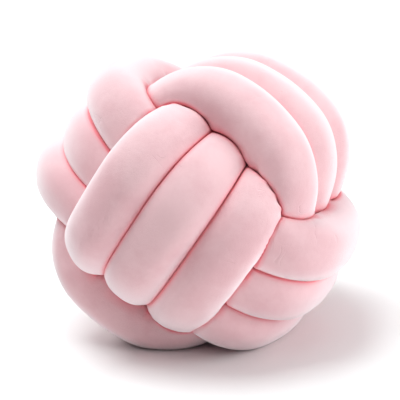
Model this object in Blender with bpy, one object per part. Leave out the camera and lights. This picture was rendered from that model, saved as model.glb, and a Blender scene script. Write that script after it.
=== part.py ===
"""Knot cushion: one long stuffed velvet tube, tied as a ball knot with three strands to each face.

The knot has three bands at right angles. Each band is three turns of the tube, passes over one
of the others on two opposite faces of the ball and under the third on two more. The tube then
bends into the middle of the ball and comes out again as the next band, and its two ends are
sewn to each other there, so it is one closed tube.

Strands that touch press each other flat: a point of the tube's skin stands at the tube's own
radius from its middle line or, where that is less, halfway to the nearest other strand.

Frame: metres, +Z up. The origin is at the centre of the cushion's bounding box, on the surface
it rests on. The front face looks towards -Y.
"""

import math
from dataclasses import dataclass
from typing import NamedTuple

import bpy
import numpy as np
from mathutils import Euler

MM = 0.001

# The tube and the ball.
BALL_RADIUS = 141.5 * MM
TUBE_RADIUS = 27.0 * MM
TUBE_FULLNESS = 2.4  # 2 makes the tube's own section round, and more fills its shoulders
OVER_REACH = 113.5 * MM  # from the ball's middle to a strand's middle line, where it passes over
UNDER_REACH = 70.0 * MM  # the same, where it passes under
UNDER_PITCH = 33.0 * MM  # between neighbouring strands' middle lines, where they pass under
SQUARENESS = 2.8  # 2 makes each turn an ellipse, and more makes it squarer
GAP_SHOWN = 1.2 * MM  # left between strands that touch, where it can be seen
GAP_HIDDEN = 4.0 * MM  # the same, inside the ball
FLAT_SPOT_DEPTH = 6.5 * MM  # how far the cushion's weight flattens its lowest strands
SETTLING = 0.015  # share by which its weight makes the ball lower and wider


class Face(NamedTuple):
    """How the three strands of a band lie on one face of the ball, with lengths in millimetres."""

    lift: float  # raises all three
    tilt: float  # raises the ends of all three on one side of the face, and lowers the others
    lean: float  # raises the strand on the band's plus side, and lowers the one opposite
    twist: float  # raises one end of the plus strand and the other end of the one opposite
    crown: float  # lowers both of these strands
    pitch: float  # between neighbouring middle lines
    shift: float  # moves all three sideways
    bow: float  # bends their middles sideways
    skew: float  # the slope at which they cross the face
    fan: float  # how much that slope differs between neighbours
    stretch: float  # the share by which the part that shows is longer


FACES = {
    # lift, tilt, lean, twist, crown, pitch, shift, bow, skew, fan, stretch
    "front": Face(-4.5, 4.7, -8.5, 2.4, 6.2, 46.3, 6.1, 1.6, -0.015, 0.013, -0.02),
    "back": Face(0.0, 0.0, 2.0, 0.0, 4.0, 47.5, -2.0, 0.0, 0.060, 0.000, 0.01),
    "right": Face(2.0, -0.1, -0.7, 3.1, 5.1, 44.4, -0.2, 2.6, 0.040, 0.040, 0.10),
    "left": Face(-0.1, -1.6, -0.9, -2.3, -3.3, 47.7, -5.9, -1.4, 0.087, -0.013, 0.00),
    "top": Face(-2.4, 2.2, -1.1, -2.4, 4.9, 47.6, -5.4, -1.7, 0.117, 0.025, 0.03),
    "bottom": Face(-1.6, -0.1, -0.1, -0.3, 1.7, 48.0, 4.9, -0.7, -0.107, 0.032, 0.04),
}

# The three bands, in the order in which the tube makes them. Band number i is spaced along the
# knot's axis i, passes under along axis i + 1 and over along axis i + 2, counted round. Each
# names the faces on the plus and minus ends of its over axis.
BANDS = (("front", "back"), ("right", "left"), ("top", "bottom"))
TURNS = 3
TURNS_START = math.radians(-65)  # a turn's angle is 0 in the middle of its plus face
SIDE_STEP = math.radians(110)  # the stretch of an under pass that steps to the next strand

# Where the tube bends from one band's last turn to the next band's first, inside the ball, and
# which way its outer side faces there, along the (spaced, under, over) axes of the band that
# ends. The places are in units of BALL_RADIUS.
BEND = (
    dict(place=(0.235, -0.43, -0.07), facing=(0.0, -0.9, 0.4)),
    dict(place=(0.190, -0.30, 0.05), facing=(0.0, -0.3, 1.0)),
    dict(place=(0.130, -0.16, 0.02), facing=(0.0, 0.6, 0.8)),
    dict(place=(0.070, -0.11, -0.10), facing=(0.0, 1.0, 0.2)),
    dict(place=(0.030, -0.13, -0.24), facing=(-0.3, 0.9, 0.0)),
    dict(place=(0.040, -0.18, -0.37), facing=(-0.8, 0.5, -0.3)),
    dict(place=(0.110, -0.23, -0.46), facing=(-0.5, 0.0, -0.9)),
)
BEND_ROOM = 0.75  # share of a bend's own radius that the tube may fill on its inner side
OWN_STRETCH = 40.0 * MM  # along the tube, nearer than this is the same bend of it
INNER_SWELL = 0.5  # how much fatter the tube is where nothing presses it, inside the ball

# How the knot lies, turned about its own x, y and z, and then tipped about the world's X.
LIE_TURN = (math.radians(27.5), math.radians(-7.2), math.radians(-43.8))
LIE_TIP = math.radians(74.0)

# Resolution of the solid.
TURN_POINTS = 87  # along one band's middle line, before it is smoothed
PATH_STEP = 2.0 * MM
RING_SPACING_SHOWN = 10.4 * MM
RING_SPACING_HIDDEN = 15.2 * MM
RING_CORNERS = (14, 40, 64, 88, 116, 156)  # degrees either side of straight out
CREASE_SHARPNESS = 24

VELVET_PINK = (0.86, 0.56, 0.61, 1.0)


@dataclass
class Path:
    """The tube's closed middle line, as points a step apart."""

    points: np.ndarray
    facing: np.ndarray  # which way the tube's outer side faces
    shown: np.ndarray  # how much of it shows: 1 where it passes over, 0 where it passes under
    lengths: np.ndarray  # along the tube to each point, and to the first one again


def smooth(share):
    """0 to 1 with no corner at either end."""
    share = np.clip(share, 0, 1)
    return share * share * (3 - 2 * share)


def unit(vectors):
    return vectors / np.linalg.norm(vectors, axis=-1, keepdims=True)


def to_next(points):
    """From each point of a closed list to the next."""
    return np.roll(points, -1, axis=0) - points


def read_at(values, places):
    """Values of a closed list, read between its entries."""
    low = np.floor(places).astype(int)
    share = (places - low).reshape(-1, *[1] * (values.ndim - 1))
    return values[low] * (1 - share) + values[(low + 1) % len(values)] * share


def blurred(values, reach):
    """Each entry of a closed list averaged with its neighbours, twice over."""
    for _ in range(2):
        values = sum(np.roll(values, k, axis=0) for k in range(-reach, reach + 1))
        values = values / (2 * reach + 1)
    return values


def along_axes(band, spaced, under, over):
    """Points given along a band's own axes, as points of the knot."""
    points = np.empty((len(over), 3))
    points[:, band] = spaced
    points[:, (band + 1) % 3] = under
    points[:, (band + 2) % 3] = over
    return points


def band_turns(band):
    """The middle line of one band's turns, and how much each point shows."""
    angle = np.linspace(TURNS_START, math.pi * (2 * TURNS - 1) - TURNS_START, TURN_POINTS)
    quarter = math.pi / 2
    step = np.clip(np.round((angle + quarter) / (4 * quarter)), 1, TURNS - 1)
    past_step = angle + quarter - step * 4 * quarter
    strand = step - 2 + smooth(0.5 + past_step / SIDE_STEP)

    cosine, sine = np.cos(angle), np.sin(angle)
    narrowing = OVER_REACH / UNDER_REACH
    corner = np.abs(cosine) ** SQUARENESS + np.abs(sine * narrowing) ** SQUARENESS
    radius = corner ** (-1 / SQUARENESS)
    shown = smooth(np.abs(radius * cosine))

    plus, minus = (FACES[name] for name in BANDS[band])
    face = Face(*(np.where(cosine > 0, *values) for values in zip(plus, minus)))
    along = radius * sine * narrowing  # -1 to 1 from one end of the face to the other
    rise = face.lift + face.tilt * along
    rise += strand * (face.lean + face.twist * along) - strand**2 * face.crown
    over = radius * cosine * (OVER_REACH + shown * rise * MM)
    under = radius * sine * OVER_REACH * (1 + shown * face.stretch)
    pitch = UNDER_PITCH + shown * (face.pitch * MM - UNDER_PITCH)
    aside = (face.shift + face.bow * (1 - 2 * along**2)) * MM
    slope = face.skew + strand * face.fan
    spaced = strand * pitch + shown * (aside + slope * under)
    return along_axes(band, spaced, under, over), shown


def band_bend(band, column):
    """One column of the bend to the next band, as vectors of the knot."""
    return along_axes(band, *np.array([row[column] for row in BEND]).T)


def smooth_curve(points):
    """A closed Catmull-Rom curve through the points, and how far along them each part of it is."""
    spans = np.round(np.linalg.norm(to_next(points), axis=1) / PATH_STEP).astype(int)
    curve, places = [], []
    for i, span in enumerate(spans):
        before, here, there, after = (points[(i + k) % len(points)] for k in (-1, 0, 1, 2))
        for share in np.arange(span) / span:
            linear = (there - before) * share
            square = (2 * before - 5 * here + 4 * there - after) * share**2
            cube = (3 * here - before - 3 * there + after) * share**3
            curve.append(here + 0.5 * (linear + square + cube))
            places.append(i + share)
    return np.array(curve), np.array(places)


def lie_matrix():
    """Turns the knot as it lies, and lets it settle: a little lower and wider."""
    turned = Euler(LIE_TURN).to_matrix()
    tipped = Euler((LIE_TIP, 0, 0)).to_matrix()
    settled = np.diag([1 + SETTLING, 1 + SETTLING, 1 - SETTLING])
    return settled @ np.array(tipped @ turned)


def tube_path():
    """The tube's whole path, as the knot lies, round the ball's middle."""
    points, facing, shown = [], [], []
    for band in range(3):
        turns, turns_shown = band_turns(band)
        points += [turns, BALL_RADIUS * band_bend(band, "place")]
        facing += [unit(turns), unit(band_bend(band, "facing"))]
        shown += [turns_shown, np.zeros(len(BEND))]
    curve, places = smooth_curve(np.concatenate(points))
    curve = curve @ lie_matrix().T
    facing = blurred(read_at(np.concatenate(facing), places) @ lie_matrix().T, 8)
    lengths = np.append(0, np.cumsum(np.linalg.norm(to_next(curve), axis=1)))
    return Path(curve, facing, read_at(np.concatenate(shown), places), lengths)


def ring_places(path):
    """Where along the path's points the rings stand, closer together where the tube shows."""
    spacing = RING_SPACING_HIDDEN + path.shown * (RING_SPACING_SHOWN - RING_SPACING_HIDDEN)
    passed = np.append(0, np.cumsum(np.diff(path.lengths) / spacing))
    count = round(passed[-1])
    return np.interp(np.arange(count) / count * passed[-1], passed, np.arange(len(passed)))


def room_for_tube(path, middle, length_here, directions, gaps):
    """How far a point of the middle line has room for the tube, in each direction.

    A direction is cut off at the plane halfway to every other point of the path, short of it by
    half the gap where that point is another strand.
    """
    away = path.points[::2] - middle
    distance = np.linalg.norm(away, axis=1)
    apart = np.abs(path.lengths[:-1:2] - length_here)
    apart = np.minimum(apart, path.lengths[-1] - apart)
    other = apart > 2 * PATH_STEP
    away, distance, apart = away[other], distance[other], apart[other]

    same_bend = apart < OWN_STRETCH
    gap = gaps[:, None] * ~same_bend
    towards = np.maximum(directions @ away.T, 1e-6)
    halfway = (distance**2 - gap * distance) / (2 * towards)
    return np.where(same_bend, BEND_ROOM * halfway, halfway).min(axis=1)


def tube_skin(path):
    """The tube's skin as rings of points, each ring across the path."""
    corners = np.radians(RING_CORNERS)
    around = np.concatenate([-corners[::-1], corners])
    outwards, sideways = np.cos(around)[:, None], np.sin(around)[:, None]
    inwards = np.clip(-outwards[:, 0], 0, 1)
    section = (np.abs(outwards) ** TUBE_FULLNESS + np.abs(sideways) ** TUBE_FULLNESS)[:, 0]
    own_reach = TUBE_RADIUS * section ** (-1 / TUBE_FULLNESS) * (1 + INNER_SWELL * inwards**2)

    places = ring_places(path)
    middles = read_at(path.points, places)
    forwards = unit(read_at(blurred(to_next(path.points), 3), places))
    facing, shown = read_at(path.facing, places), read_at(path.shown, places)
    lengths_here = np.interp(places, np.arange(len(path.lengths)), path.lengths)
    rings = []
    for i, middle in enumerate(middles):
        out = unit(facing[i] - facing[i].dot(forwards[i]) * forwards[i])
        directions = outwards * out + sideways * np.cross(forwards[i], out)
        hidden = np.maximum(1 - shown[i], smooth(1.6 * inwards))
        gaps = GAP_SHOWN + hidden * (GAP_HIDDEN - GAP_SHOWN)
        room = room_for_tube(path, middle, lengths_here[i], directions, gaps)
        pressed = own_reach**-CREASE_SHARPNESS + room**-CREASE_SHARPNESS
        rings.append(middle + directions * pressed[:, None] ** (-1 / CREASE_SHARPNESS))
    return np.array(rings)


def set_down(rings):
    """The rings' points standing on z = 0, flattened there, with their box over the origin."""
    points = rings.reshape(-1, 3).copy()
    points[:, 2] = np.maximum(points[:, 2] - points[:, 2].min() - FLAT_SPOT_DEPTH, 0)
    points[:, :2] -= (points[:, :2].min(axis=0) + points[:, :2].max(axis=0)) / 2
    return points


def skin_faces(points, rings, sides):
    """Two triangles for each cell between the rings, split along its shorter diagonal."""
    ring, side = np.divmod(np.arange(rings * sides), sides)
    following, beside = (ring + 1) % rings, (side + 1) % sides
    a, b = ring * sides + side, ring * sides + beside
    c, d = following * sides + beside, following * sides + side
    from_a = np.linalg.norm(points[a] - points[c], axis=1)
    from_b = np.linalg.norm(points[b] - points[d], axis=1)
    split_ac = np.stack([a, b, c, a, c, d], axis=1)
    split_bd = np.stack([a, b, d, b, c, d], axis=1)
    return np.where((from_a <= from_b)[:, None], split_ac, split_bd).reshape(-1, 3)


def velvet():
    material = bpy.data.materials.new("velvet")
    material.use_nodes = True
    shader = material.node_tree.nodes["Principled BSDF"]
    shader.inputs["Base Color"].default_value = VELVET_PINK
    shader.inputs["Roughness"].default_value = 0.9
    shader.inputs["Metallic"].default_value = 0.0
    shader.inputs["Sheen Weight"].default_value = 0.6
    return material


def build_cushion():
    rings = tube_skin(tube_path())
    points = set_down(rings)
    mesh = bpy.data.meshes.new("knotted_tube")
    mesh.from_pydata(points.tolist(), [], skin_faces(points, *rings.shape[:2]).tolist())
    mesh.materials.append(velvet())
    mesh.shade_smooth()
    cushion = bpy.data.objects.new("knotted_tube", mesh)
    bpy.context.scene.collection.objects.link(cushion)


def main():
    for obj in list(bpy.data.objects):
        bpy.data.objects.remove(obj)
    build_cushion()


main()
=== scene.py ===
"""Looks of the knot cushion: the same knotted tube as the part, drawn finely, in soft pink velvet.

The tube's middle line, its section and the way neighbouring strands press each other flat are
worked out as in the part. On top of that come uneven stuffing, puckers where strands dive under
others, and a velvet that is brushed in patches and has a soft sheen. Its colour also holds painted
light: a painted sheen, paler where it is seen at a glancing angle, and painted shade, a deeper pink
in the creases and where strands dive under others.
"""

import math
from dataclasses import dataclass
from typing import NamedTuple

import bpy
import numpy as np
from mathutils import Euler, Matrix, Vector


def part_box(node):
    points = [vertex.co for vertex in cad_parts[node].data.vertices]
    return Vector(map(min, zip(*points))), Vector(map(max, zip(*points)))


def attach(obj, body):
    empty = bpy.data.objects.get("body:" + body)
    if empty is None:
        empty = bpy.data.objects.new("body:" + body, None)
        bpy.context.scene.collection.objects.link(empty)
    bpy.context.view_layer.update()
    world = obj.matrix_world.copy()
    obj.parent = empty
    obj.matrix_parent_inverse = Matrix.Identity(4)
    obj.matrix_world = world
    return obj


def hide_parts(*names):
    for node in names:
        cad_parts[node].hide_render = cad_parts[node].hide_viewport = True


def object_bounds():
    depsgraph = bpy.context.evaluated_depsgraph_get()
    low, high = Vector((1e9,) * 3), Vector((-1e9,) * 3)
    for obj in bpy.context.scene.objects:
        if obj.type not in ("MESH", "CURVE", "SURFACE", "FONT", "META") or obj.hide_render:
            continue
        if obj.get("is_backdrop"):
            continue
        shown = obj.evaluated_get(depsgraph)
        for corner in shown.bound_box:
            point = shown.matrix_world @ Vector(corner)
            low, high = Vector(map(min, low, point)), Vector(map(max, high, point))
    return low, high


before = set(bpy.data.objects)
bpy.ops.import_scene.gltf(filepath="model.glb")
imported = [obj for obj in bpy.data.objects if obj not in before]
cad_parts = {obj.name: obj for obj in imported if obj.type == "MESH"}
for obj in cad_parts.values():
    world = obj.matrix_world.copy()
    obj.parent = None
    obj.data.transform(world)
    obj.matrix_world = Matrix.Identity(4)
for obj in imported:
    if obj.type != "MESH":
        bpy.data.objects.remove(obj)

MM = 0.001

# The tube and the ball, as in the part.
BALL_RADIUS = 141.5 * MM
TUBE_RADIUS = 27.0 * MM
TUBE_FULLNESS = 2.4  # 2 makes the tube's own section round, and more fills its shoulders
OVER_REACH = 113.5 * MM  # from the ball's middle to a strand's middle line, where it passes over
UNDER_REACH = 70.0 * MM  # the same, where it passes under
UNDER_PITCH = 33.0 * MM  # between neighbouring strands' middle lines, where they pass under
SQUARENESS = 2.8  # 2 makes each turn an ellipse, and more makes it squarer
SETTLING = 0.015  # share by which its weight makes the ball lower and wider


class Face(NamedTuple):
    """How the three strands of a band lie on one face of the ball, with lengths in millimetres."""

    lift: float  # raises all three
    tilt: float  # raises the ends of all three on one side of the face, and lowers the others
    lean: float  # raises the strand on the band's plus side, and lowers the one opposite
    twist: float  # raises one end of the plus strand and the other end of the one opposite
    crown: float  # lowers both of these strands
    pitch: float  # between neighbouring middle lines
    shift: float  # moves all three sideways
    bow: float  # bends their middles sideways
    skew: float  # the slope at which they cross the face
    fan: float  # how much that slope differs between neighbours
    stretch: float  # the share by which the part that shows is longer


FACES = {
    # lift, tilt, lean, twist, crown, pitch, shift, bow, skew, fan, stretch
    "front": Face(-4.5, 4.7, -8.5, 2.4, 6.2, 46.3, 6.1, 1.6, -0.015, 0.013, -0.02),
    "back": Face(0.0, 0.0, 2.0, 0.0, 4.0, 47.5, -2.0, 0.0, 0.060, 0.000, 0.01),
    "right": Face(2.0, -0.1, -0.7, 3.1, 5.1, 44.4, -0.2, 2.6, 0.040, 0.040, 0.10),
    "left": Face(-0.1, -1.6, -0.9, -2.3, -3.3, 47.7, -5.9, -1.4, 0.087, -0.013, 0.00),
    "top": Face(-2.4, 2.2, -1.1, -2.4, 4.9, 47.6, -5.4, -1.7, 0.117, 0.025, 0.03),
    "bottom": Face(-1.6, -0.1, -0.1, -0.3, 1.7, 48.0, 4.9, -0.7, -0.107, 0.032, 0.04),
}

# The three bands, in the order in which the tube makes them. Band number i is spaced along the
# knot's axis i, passes under along axis i + 1 and over along axis i + 2, counted round. Each
# names the faces on the plus and minus ends of its over axis.
BANDS = (("front", "back"), ("right", "left"), ("top", "bottom"))
TURNS = 3
TURNS_START = math.radians(-65)  # a turn's angle is 0 in the middle of its plus face
SIDE_STEP = math.radians(110)  # the stretch of an under pass that steps to the next strand

# Where the tube bends from one band's last turn to the next band's first, inside the ball, and
# which way its outer side faces there, along the (spaced, under, over) axes of the band that
# ends. The places are in units of BALL_RADIUS.
BEND = (
    dict(place=(0.235, -0.43, -0.07), facing=(0.0, -0.9, 0.4)),
    dict(place=(0.190, -0.30, 0.05), facing=(0.0, -0.3, 1.0)),
    dict(place=(0.130, -0.16, 0.02), facing=(0.0, 0.6, 0.8)),
    dict(place=(0.070, -0.11, -0.10), facing=(0.0, 1.0, 0.2)),
    dict(place=(0.030, -0.13, -0.24), facing=(-0.3, 0.9, 0.0)),
    dict(place=(0.040, -0.18, -0.37), facing=(-0.8, 0.5, -0.3)),
    dict(place=(0.110, -0.23, -0.46), facing=(-0.5, 0.0, -0.9)),
)
BEND_ROOM = 0.75  # share of a bend's own radius that the tube may fill on its inner side
OWN_STRETCH = 40.0 * MM  # along the tube, nearer than this is the same bend of it
INNER_SWELL = 0.5  # how much fatter the tube is where nothing presses it, inside the ball

# How the knot lies, turned about its own x, y and z, and then tipped about the world's X.
LIE_TURN = (math.radians(27.5), math.radians(-7.2), math.radians(-43.8))
LIE_TIP = math.radians(74.0)

# How finely the tube is drawn.
TURN_POINTS = 87  # along one band's middle line, before it is smoothed
PATH_STEP = 2.0 * MM
FACING_BLUR = 8  # points of the path either side, over which its outer side's turning is eased
HEADING_BLUR = 3  # the same, for the way the tube heads
RING_SPACING_SHOWN = 2.7 * MM  # between the rings of points that make up the tube's skin
RING_SPACING_HIDDEN = 6.0 * MM
OUTER_STEPS = 48  # round the outer side of a ring, which shows
INNER_STEPS = 10
OUTER_SIDE = math.radians(84)  # how far either side of straight out the outer side reaches

# How closely the strands press on each other.
CREASE_SHARPNESS = 100  # the more, the sharper the edge of the flat where two strands touch
GAP_SHOWN = 0.03 * MM  # left between strands that touch, where it can be seen
GAP_HIDDEN = 2.0 * MM  # the same, inside the ball
INNER_GAP_RISE = 1.6  # how fast the gap widens from a ring's flanks to its inner side
LEAST_TOWARDS = 1e-6  # stands in for 0 or less, where a direction leads away from a strand
SHOULDER = 0.03  # share by which the tube bulges just before it meets its neighbour
SHOULDER_START = 0.80  # share of the way to the neighbour at which it starts to
CREASE_START = 0.82  # the same, for the painted shade of the crease
DIVE_SHOWN = 0.45  # how much of the tube still shows where that painted shade starts before a dive
FLOOR_SOFTNESS = 1.5 * MM  # height over which the flat spots round off

# Unevenness of the stuffing.
LUMPS = 0.018  # share of the tube's radius
LUMP_WAVES = ((9, 1), (17, 2), (31, 1), (46, 2), (63, 3))  # along the tube, and round it
LUMP_STRENGTHS = (0.7, 1.3)
SEED = 11
TUCK = 0.05  # share by which the tube is slimmer where it dives under other strands
TUCK_SHOWN = 0.75  # how much of it still shows where it starts to get slimmer
PUCKER_DEPTH = 0.45 * MM
PUCKER_LENGTH = 8.5 * MM
PUCKER_SHOWN = 0.35  # how much of the tube shows where its puckers are deepest
PUCKER_FADE = 0.25  # how much more or less of it shows where they end
PUCKER_SIDE = math.radians(62)  # how far either side of straight out they are deepest
PUCKER_SIDE_FADE = math.radians(30)  # how far from there they end


class Noise(NamedTuple):
    """The settings of a noise texture."""

    scale: float  # waves to a metre, or to a unit of what it is laid along
    detail: float
    roughness: float


NOISE_MIDDLE = 0.5

# The velvet's colours, as red, green, blue and opacity, and where each comes in. Some are painted
# light: a painted sheen where the pile is seen side on, and painted shade in the creases and dives.
# A span holds the two values of something between which a look changes.
PILE_PINK = (0.86, 0.545, 0.575, 1.0)
BRUSHED_PINK = (0.80, 0.465, 0.50, 1.0)
BRUSHING = Noise(16.0, 5.0, 0.66)
BRUSHED_SPAN = (0.38, 0.66)  # of that noise, from plain pile to brushed
PAINTED_SHEEN_PINK = (0.95, 0.77, 0.80, 1.0)  # painted sheen: a paler pink where the pile is seen side on
GLANCING_BLEND = 0.35
PAINTED_SHEEN_SPAN = (0.15, 0.8)  # of the layer weight, from no painted sheen to all of it
# Painted shade: a deeper pink towards a crease or a dive, and deepest in it.
CREASE_SHADE_PINK = (0.93, 0.42, 0.465, 1.0)
DEEPEST_SHADE_PINK = (0.93, 0.29, 0.33, 1.0)
DEEPEST_SHADE_SPAN = (0.7, 1.0)  # of the painted crease shade, from the one pink to the other

# The velvet's surface.
ROUGHNESS_SPAN = (0.3, 0.7)  # of the brushing noise
VELVET_ROUGHNESS = (0.82, 0.95)
VELVET_SPECULAR = 0.15
SHEEN = 0.45
SHEEN_ROUGHNESS = 0.45
SHEEN_TINT = (1.0, 0.93, 0.94, 1.0)
PILE = Noise(1600.0, 2.0, 0.6)
TOUSLING = Noise(240.0, 2.0, 0.6)  # tufts of the pile that lie together
PILE_STRENGTH = 0.35
PILE_DEPTH = 0.8 * MM

# Faint folds across the tube. Each follows a line where a noise has its middle value.
FOLD_STRETCH = (95.0, 30.0, 1.0)  # waves to a metre along the tube, and round it
FOLD_LINES = Noise(1.0, 1.0, 0.5)
FOLD_SPAN = (0.0, 0.012)  # of the noise's distance from that value, from a fold to none
FOLD_PLACES = Noise(34.0, 1.0, 0.5)
FOLD_PLACES_SPAN = (0.62, 0.68)  # of this noise, from no folds to full ones
FOLD_STRENGTH = 0.5
FOLD_DEPTH = 0.6 * MM

# The camera, which looks at the ball's middle from the front.
BALL_MIDDLE = Vector((0.0049, -0.0043, 0.1249))
CAMERA_DISTANCE = 1.021
CAMERA_RISE = math.radians(15.0)
CAMERA_ROLL = math.radians(-4.0)
CAMERA_ASIDE = Vector((-0.0018, -0.0011, 0.0))  # to the left and down, as it looks
CAMERA_LENS = 100.0  # mm
CAMERA_SENSOR = 36.0  # mm

# The floor.
FLOOR_SIZE = 30.0
FLOOR_COLOUR = (0.94, 0.92, 0.92, 1.0)
FLOOR_ROUGHNESS = 0.9
FLOOR_SPECULAR = 0.1

# The light: a faint world and round soft lamps, with their size across in metres, power in
# watts and spread in degrees. Those that look straight down keep the floor pale all round.
WORLD_STRENGTH = 0.04
SOFTBOXES = {
    "ceiling": dict(place=(0, 0, 4), aim=(0, 0, 0), size=13.0, power=210.0, spread=180),
    "behind": dict(place=(0, 3.6, 3), aim=(0, 3.6, 0), size=5.0, power=60.0, spread=60),
    "ahead": dict(place=(0, -3.6, 3), aim=(0, -3.6, 0), size=5.0, power=30.0, spread=60),
    "beyond_right": dict(place=(3.6, 0, 3), aim=(3.6, 0, 0), size=5.0, power=36.0, spread=60),
    "beyond_left": dict(place=(-3.6, 0, 3), aim=(-3.6, 0, 0), size=5.0, power=36.0, spread=60),
    "top": dict(place=(-0.4, 0.0, 1.9), aim=BALL_MIDDLE, size=1.2, power=26.0, spread=180),
    "right": dict(place=(1.6, -0.5, 0.5), aim=BALL_MIDDLE, size=1.4, power=22.0, spread=180),
    "left": dict(place=(-1.2, 0.9, 1.4), aim=BALL_MIDDLE, size=1.3, power=13.0, spread=180),
}
LIGHT_TINT = (0.93, 1.0, 1.0)  # a little cool


@dataclass
class Path:
    """The tube's closed middle line, as points a step apart."""

    points: np.ndarray
    facing: np.ndarray  # which way the tube's outer side faces
    shown: np.ndarray  # how much of it shows: 1 where it passes over, 0 where it passes under
    lengths: np.ndarray  # along the tube to each point, and to the first one again


def smooth(share):
    """0 to 1 with no corner at either end."""
    share = np.clip(share, 0, 1)
    return share * share * (3 - 2 * share)


def unit(vectors):
    return vectors / np.linalg.norm(vectors, axis=-1, keepdims=True)


def to_next(points):
    """From each point of a closed list to the next."""
    return np.roll(points, -1, axis=0) - points


def read_at(values, places):
    """Values of a closed list, read between its entries."""
    low = np.floor(places).astype(int)
    share = (places - low).reshape(-1, *[1] * (values.ndim - 1))
    return values[low] * (1 - share) + values[(low + 1) % len(values)] * share


def blurred(values, reach):
    """Each entry of a closed list averaged with its neighbours, twice over."""
    for _ in range(2):
        values = sum(np.roll(values, k, axis=0) for k in range(-reach, reach + 1))
        values = values / (2 * reach + 1)
    return values


def along_axes(band, spaced, under, over):
    """Points given along a band's own axes, as points of the knot."""
    points = np.empty((len(over), 3))
    points[:, band] = spaced
    points[:, (band + 1) % 3] = under
    points[:, (band + 2) % 3] = over
    return points


def band_turns(band):
    """The middle line of one band's turns, and how much each point shows."""
    angle = np.linspace(TURNS_START, math.pi * (2 * TURNS - 1) - TURNS_START, TURN_POINTS)
    quarter = math.pi / 2
    step = np.clip(np.round((angle + quarter) / (4 * quarter)), 1, TURNS - 1)
    past_step = angle + quarter - step * 4 * quarter
    strand = step - 2 + smooth(0.5 + past_step / SIDE_STEP)

    cosine, sine = np.cos(angle), np.sin(angle)
    narrowing = OVER_REACH / UNDER_REACH
    corner = np.abs(cosine) ** SQUARENESS + np.abs(sine * narrowing) ** SQUARENESS
    radius = corner ** (-1 / SQUARENESS)
    shown = smooth(np.abs(radius * cosine))

    plus, minus = (FACES[name] for name in BANDS[band])
    face = Face(*(np.where(cosine > 0, *values) for values in zip(plus, minus)))
    along = radius * sine * narrowing  # -1 to 1 from one end of the face to the other
    rise = face.lift + face.tilt * along
    rise += strand * (face.lean + face.twist * along) - strand**2 * face.crown
    over = radius * cosine * (OVER_REACH + shown * rise * MM)
    under = radius * sine * OVER_REACH * (1 + shown * face.stretch)
    pitch = UNDER_PITCH + shown * (face.pitch * MM - UNDER_PITCH)
    aside = (face.shift + face.bow * (1 - 2 * along**2)) * MM
    slope = face.skew + strand * face.fan
    spaced = strand * pitch + shown * (aside + slope * under)
    return along_axes(band, spaced, under, over), shown


def band_bend(band, column):
    """One column of the bend to the next band, as vectors of the knot."""
    return along_axes(band, *np.array([row[column] for row in BEND]).T)


def smooth_curve(points):
    """A closed Catmull-Rom curve through the points, and how far along them each part of it is."""
    spans = np.round(np.linalg.norm(to_next(points), axis=1) / PATH_STEP).astype(int)
    curve, places = [], []
    for i, span in enumerate(spans):
        before, here, there, after = (points[(i + k) % len(points)] for k in (-1, 0, 1, 2))
        for share in np.arange(span) / span:
            linear = (there - before) * share
            square = (2 * before - 5 * here + 4 * there - after) * share**2
            cube = (3 * here - before - 3 * there + after) * share**3
            curve.append(here + 0.5 * (linear + square + cube))
            places.append(i + share)
    return np.array(curve), np.array(places)


def lie_matrix():
    """Turns the knot as it lies, and lets it settle: a little lower and wider."""
    turned = Euler(LIE_TURN).to_matrix()
    tipped = Euler((LIE_TIP, 0, 0)).to_matrix()
    settled = np.diag([1 + SETTLING, 1 + SETTLING, 1 - SETTLING])
    return settled @ np.array(tipped @ turned)


def tube_path():
    """The tube's whole path, as the knot lies, round the ball's middle."""
    points, facing, shown = [], [], []
    for band in range(3):
        turns, turns_shown = band_turns(band)
        points += [turns, BALL_RADIUS * band_bend(band, "place")]
        facing += [unit(turns), unit(band_bend(band, "facing"))]
        shown += [turns_shown, np.zeros(len(BEND))]
    curve, places = smooth_curve(np.concatenate(points))
    curve = curve @ lie_matrix().T
    facing = blurred(read_at(np.concatenate(facing), places) @ lie_matrix().T, FACING_BLUR)
    lengths = np.append(0, np.cumsum(np.linalg.norm(to_next(curve), axis=1)))
    return Path(curve, facing, read_at(np.concatenate(shown), places), lengths)


def ring_places(path):
    """Where along the path's points the rings stand, closer together where the tube shows."""
    spacing = RING_SPACING_HIDDEN + path.shown * (RING_SPACING_SHOWN - RING_SPACING_HIDDEN)
    passed = np.append(0, np.cumsum(np.diff(path.lengths) / spacing))
    count = round(passed[-1])
    return np.interp(np.arange(count) / count * passed[-1], passed, np.arange(len(passed)))


def room_for_tube(path, middle, length_here, directions, gaps):
    """How far a point of the middle line has room for the tube, in each direction."""
    away = path.points[::2] - middle
    distance = np.linalg.norm(away, axis=1)
    apart = np.abs(path.lengths[:-1:2] - length_here)
    apart = np.minimum(apart, path.lengths[-1] - apart)
    other = apart > 2 * PATH_STEP
    away, distance, apart = away[other], distance[other], apart[other]

    same_bend = apart < OWN_STRETCH
    gap = gaps[:, None] * ~same_bend
    towards = np.maximum(directions @ away.T, LEAST_TOWARDS)
    halfway = (distance**2 - gap * distance) / (2 * towards)
    return np.where(same_bend, BEND_ROOM * halfway, halfway).min(axis=1)


def ring_angles():
    """Angles from straight out, round one ring, closer together on the outer side."""
    outer = np.linspace(-OUTER_SIDE, OUTER_SIDE, OUTER_STEPS + 1)
    inner = np.linspace(OUTER_SIDE, 2 * math.pi - OUTER_SIDE, INNER_STEPS + 1)
    return np.concatenate([outer, inner[1:-1]])


def stuffing(along, around):
    """How much fuller or emptier the tube is at each place, as a share of its radius."""
    chance = np.random.default_rng(SEED)
    lumps = 0
    for waves_along, waves_around in LUMP_WAVES:
        start, turn = chance.uniform(0, 2 * math.pi, 2)
        strength = chance.uniform(*LUMP_STRENGTHS)
        wave = np.cos(waves_along * along + start)[:, None]
        lumps = lumps + strength * wave * np.cos(waves_around * around + turn)[None, :]
    return LUMPS * lumps / math.sqrt(len(LUMP_WAVES))


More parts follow.
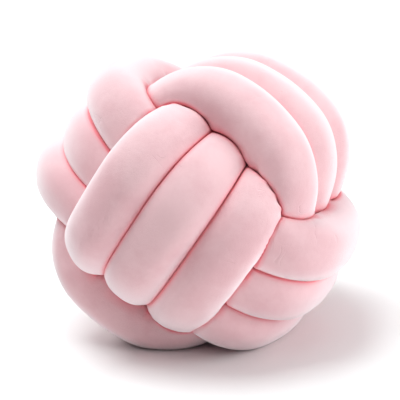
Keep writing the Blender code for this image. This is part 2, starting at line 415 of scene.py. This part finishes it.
def tube_skin(path):
    """The tube's skin as rings of points, each ring across the path."""
    around = ring_angles()
    outwards, sideways = np.cos(around)[:, None], np.sin(around)[:, None]
    inwards = np.clip(-outwards[:, 0], 0, 1)
    section = (np.abs(outwards) ** TUBE_FULLNESS + np.abs(sideways) ** TUBE_FULLNESS)[:, 0]
    own_reach = TUBE_RADIUS * section ** (-1 / TUBE_FULLNESS) * (1 + INNER_SWELL * inwards**2)

    places = ring_places(path)
    middles = read_at(path.points, places)
    forwards = unit(read_at(blurred(to_next(path.points), HEADING_BLUR), places))
    facing, shown = read_at(path.facing, places), read_at(path.shown, places)
    lengths_here = np.interp(places, np.arange(len(path.lengths)), path.lengths)
    fuller = 1 + stuffing(2 * math.pi * lengths_here / path.lengths[-1], around)
    fuller *= 1 - TUCK * smooth(1 - shown / TUCK_SHOWN)[:, None]

    diving = smooth(1 - np.abs(shown - PUCKER_SHOWN) / PUCKER_FADE)
    pucker = PUCKER_DEPTH * diving * np.cos(2 * math.pi * lengths_here / PUCKER_LENGTH)
    on_flank = smooth(1 - np.abs(np.abs(around) - PUCKER_SIDE) / PUCKER_SIDE_FADE)

    rings, crease_shade = [], []
    for i, middle in enumerate(middles):
        out = unit(facing[i] - facing[i].dot(forwards[i]) * forwards[i])
        directions = outwards * out + sideways * np.cross(forwards[i], out)
        hidden = np.maximum(1 - shown[i], smooth(INNER_GAP_RISE * inwards))
        gaps = GAP_SHOWN + hidden * (GAP_HIDDEN - GAP_SHOWN)
        room = room_for_tube(path, middle, lengths_here[i], directions, gaps)
        reach = own_reach * fuller[i] - pucker[i] * on_flank
        reach *= 1 + SHOULDER * smooth((reach / room - SHOULDER_START) / (1 - SHOULDER_START))
        pressed = reach**-CREASE_SHARPNESS + room**-CREASE_SHARPNESS
        rings.append(middle + directions * pressed[:, None] ** (-1 / CREASE_SHARPNESS))
        # Painted shade for the colour: from how near a neighbour presses, and from how far the tube
        # has dived.
        in_crease = smooth((reach / room - CREASE_START) / (1 - CREASE_START))
        crease_shade.append(np.maximum(in_crease, smooth(1 - shown[i] / DIVE_SHOWN)))
    return np.array(rings), np.array(crease_shade), lengths_here, around


def set_down(rings, low, high):
    """The rings' points inside the solid's box, softly flattened where they meet the floor."""
    points = rings.reshape(-1, 3).copy()
    middle = (points[:, :2].min(axis=0) + points[:, :2].max(axis=0)) / 2
    points[:, :2] += (np.array(low)[:2] + np.array(high)[:2]) / 2 - middle
    height = points[:, 2] + high[2] - points[:, 2].max()
    points[:, 2] = (height + np.sqrt(height**2 + FLOOR_SOFTNESS**2)) / 2
    return points


def skin_faces(rings, sides):
    """The cells between the rings, closed both along the tube and round it."""
    ring, side = np.divmod(np.arange(rings * sides), sides)
    following, beside = (ring + 1) % rings, (side + 1) % sides
    corners = (ring * sides + side, ring * sides + beside)
    corners += (following * sides + beside, following * sides + side)
    return np.stack(corners, axis=1)


def add_tube_map(mesh, rings, sides, lengths_here, around, whole_length):
    """A UV map in metres: along the tube, and round it."""
    ring, side = np.divmod(np.arange(rings * sides), sides)
    along = np.append(lengths_here, whole_length)
    turned = np.append(around, around[0] + 2 * math.pi)
    u = np.stack([along[ring], along[ring], along[ring + 1], along[ring + 1]], axis=1)
    v = np.stack([turned[side], turned[side + 1], turned[side + 1], turned[side]], axis=1)
    layer = mesh.uv_layers.new(name="tube")
    layer.data.foreach_set("uv", np.stack([u, v * TUBE_RADIUS], axis=2).ravel())


def add_object(name, data):
    """A new object in the scene."""
    thing = bpy.data.objects.new(name, data)
    bpy.context.scene.collection.objects.link(thing)
    return thing


def make_cushion(low, high, material):
    """The whole tube as one piece, in the solid's box."""
    path = tube_path()
    rings, crease_shade, lengths_here, around = tube_skin(path)
    count, sides = rings.shape[:2]
    points = set_down(rings, low, high)
    mesh = bpy.data.meshes.new("velvet_tube")
    mesh.from_pydata(points.tolist(), [], skin_faces(count, sides).tolist())
    add_tube_map(mesh, count, sides, lengths_here, around, path.lengths[-1])
    # The painted crease shade, kept on the points for the velvet's colour.
    crease_shade_layer = mesh.attributes.new("crease_shade", "FLOAT", "POINT")
    crease_shade_layer.data.foreach_set("value", crease_shade.ravel())
    mesh.materials.append(material)
    mesh.shade_smooth()
    return add_object("velvet_tube", mesh)


class Nodes:
    """Short names for adding and joining the nodes of one material.

    An input's name is written with _ for each space. What is put into an input is a number, a
    colour or another node's output.
    """

    def __init__(self, name):
        self.material = bpy.data.materials.new(name)
        self.material.use_nodes = True
        self.tree = self.material.node_tree

    def put(self, socket, value):
        if isinstance(value, bpy.types.NodeSocket):
            self.tree.links.new(value, socket)
        else:
            socket.default_value = value

    def feed(self, node, **inputs):
        for name, value in inputs.items():
            self.put(node.inputs[name.replace("_", " ")], value)

    def shade(self, **inputs):
        """Feeds the material's own shader."""
        self.feed(self.tree.nodes["Principled BSDF"], **inputs)

    def add(self, kind, settings=None, **inputs):
        node = self.tree.nodes.new("ShaderNode" + kind)
        for name, value in (settings or {}).items():
            setattr(node, name, value)
        self.feed(node, **inputs)
        return node

    def noise(self, place, row):
        """A value that varies round NOISE_MIDDLE from place to place."""
        node = self.add(
            "TexNoise",
            Vector=place,
            Scale=row.scale,
            Detail=row.detail,
            Roughness=row.roughness,
        )
        return node.outputs["Fac"]

    def ranged(self, value, span, to=(0.0, 1.0)):
        """A value that goes from one end of a range to the other as it crosses the span."""
        node = self.add(
            "MapRange",
            {"interpolation_type": "SMOOTHSTEP"},
            Value=value,
            From_Min=span[0],
            From_Max=span[1],
            To_Min=to[0],
            To_Max=to[1],
        )
        return node.outputs["Result"]

    def mixed(self, share, first, second):
        """A colour between two others."""
        node = self.add("Mix", {"data_type": "RGBA"}, Factor=share)
        colours = [socket for socket in node.inputs if socket.type == "RGBA"]
        self.put(colours[0], first)
        self.put(colours[1], second)
        return next(socket for socket in node.outputs if socket.type == "RGBA")

    def maths(self, operation, *values):
        node = self.add("Math", {"operation": operation})
        for socket, value in zip(node.inputs, values):
            self.put(socket, value)
        return node.outputs["Value"]


def velvet_colour(made, brushed):
    """Pink that is deeper where the pile is brushed, with painted shade in the creases and dives
    and a painted pale sheen where it is seen side on.
    """
    colour = made.mixed(made.ranged(brushed, BRUSHED_SPAN), PILE_PINK, BRUSHED_PINK)
    # Painted sheen: a paler pink where the surface is seen side on.
    glancing = made.add("LayerWeight", Blend=GLANCING_BLEND).outputs["Facing"]
    colour = made.mixed(made.ranged(glancing, PAINTED_SHEEN_SPAN), colour, PAINTED_SHEEN_PINK)
    # Painted shade: deeper pinks in the creases and dives.
    crease_shade = made.add("Attribute", {"attribute_name": "crease_shade"}).outputs["Fac"]
    colour = made.mixed(crease_shade, colour, CREASE_SHADE_PINK)
    return made.mixed(made.ranged(crease_shade, DEEPEST_SHADE_SPAN), colour, DEEPEST_SHADE_PINK)


def faint_folds(made, place):
    """How deep the cloth is folded: a few thin lines across the tube."""
    tube = made.add("UVMap", {"uv_map": "tube"}).outputs["UV"]
    stretched = made.add("Mapping", Vector=tube, Scale=FOLD_STRETCH).outputs["Vector"]
    off_middle = made.maths("SUBTRACT", made.noise(stretched, FOLD_LINES), NOISE_MIDDLE)
    lines = made.ranged(made.maths("ABSOLUTE", off_middle), FOLD_SPAN, to=(1.0, 0.0))
    here = made.ranged(made.noise(place, FOLD_PLACES), FOLD_PLACES_SPAN)
    return made.maths("MULTIPLY", lines, here)


def velvet_surface(made, place):
    """The way the surface faces, with a fine tousled pile and the folds."""
    tousled = made.maths("ADD", made.noise(place, PILE), made.noise(place, TOUSLING))
    pile = made.add("Bump", Strength=PILE_STRENGTH, Distance=PILE_DEPTH, Height=tousled)
    folded = made.add(
        "Bump",
        {"invert": True},
        Strength=FOLD_STRENGTH,
        Distance=FOLD_DEPTH,
        Height=faint_folds(made, place),
        Normal=pile.outputs["Normal"],
    )
    return folded.outputs["Normal"]


def velvet():
    """Short-pile velvet, brushed in patches, with a soft sheen, and painted sheen and shade in its
    colour.
    """
    made = Nodes("velvet")
    place = made.add("TexCoord").outputs["Object"]
    brushed = made.noise(place, BRUSHING)
    made.shade(
        Base_Color=velvet_colour(made, brushed),
        Roughness=made.ranged(brushed, ROUGHNESS_SPAN, to=VELVET_ROUGHNESS),
        Normal=velvet_surface(made, place),
        Sheen_Weight=SHEEN,
        Sheen_Roughness=SHEEN_ROUGHNESS,
        Sheen_Tint=SHEEN_TINT,
        Specular_IOR_Level=VELVET_SPECULAR,
    )
    return made.material


def make_floor():
    """A wide plain floor."""
    made = Nodes("pale_floor")
    made.shade(
        Base_Color=FLOOR_COLOUR,
        Roughness=FLOOR_ROUGHNESS,
        Specular_IOR_Level=FLOOR_SPECULAR,
    )
    half = FLOOR_SIZE / 2
    mesh = bpy.data.meshes.new("floor")
    corners = [(-half, -half, 0), (half, -half, 0), (half, half, 0), (-half, half, 0)]
    mesh.from_pydata(corners, [], [(0, 1, 2, 3)])
    mesh.materials.append(made.material)
    return add_object("floor", mesh)


def light_studio():
    """A faint world, and every lamp of the table above."""
    world = bpy.data.worlds.new("pale_studio")
    world.use_nodes = True
    world.node_tree.nodes["Background"].inputs["Strength"].default_value = WORLD_STRENGTH
    bpy.context.scene.world = world
    for name, row in SOFTBOXES.items():
        light = bpy.data.lights.new(name, "AREA")
        light.shape = "DISK"
        light.size = row["size"]
        light.color = LIGHT_TINT
        light.energy = row["power"]
        light.spread = math.radians(row["spread"])
        lamp = add_object(name, light)
        lamp.location = row["place"]
        towards = Vector(row["aim"]) - lamp.location
        lamp.rotation_euler = towards.to_track_quat("-Z", "Y").to_euler()


def place_camera():
    """Looks at the ball's middle from the photo's distance, height and tilt."""
    camera = bpy.data.cameras.new("camera")
    camera.sensor_width = CAMERA_SENSOR
    camera.lens = CAMERA_LENS
    turn = Matrix.Rotation(math.pi / 2 - CAMERA_RISE, 4, "X") @ Matrix.Rotation(CAMERA_ROLL, 4, "Z")
    viewer = add_object("camera", camera)
    viewer.matrix_world = (
        Matrix.Translation(BALL_MIDDLE)
        @ turn
        @ Matrix.Translation(CAMERA_ASIDE + Vector((0, 0, CAMERA_DISTANCE)))
    )
    bpy.context.scene.camera = viewer


def main():
    cad_low, cad_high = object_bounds()
    cushion = make_cushion(*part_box("knotted_tube"), velvet())
    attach(cushion, "root")
    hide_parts("knotted_tube")
    make_floor()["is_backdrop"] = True
    light_studio()
    place_camera()
    bpy.context.scene.view_settings.view_transform = "Standard"

    visual_low, visual_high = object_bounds()
    boxes = {"cad": [cad_low, cad_high], "visual": [visual_low, visual_high]}
    boxes = {name: [[float(n) for n in corner] for corner in box] for name, box in boxes.items()}


main()
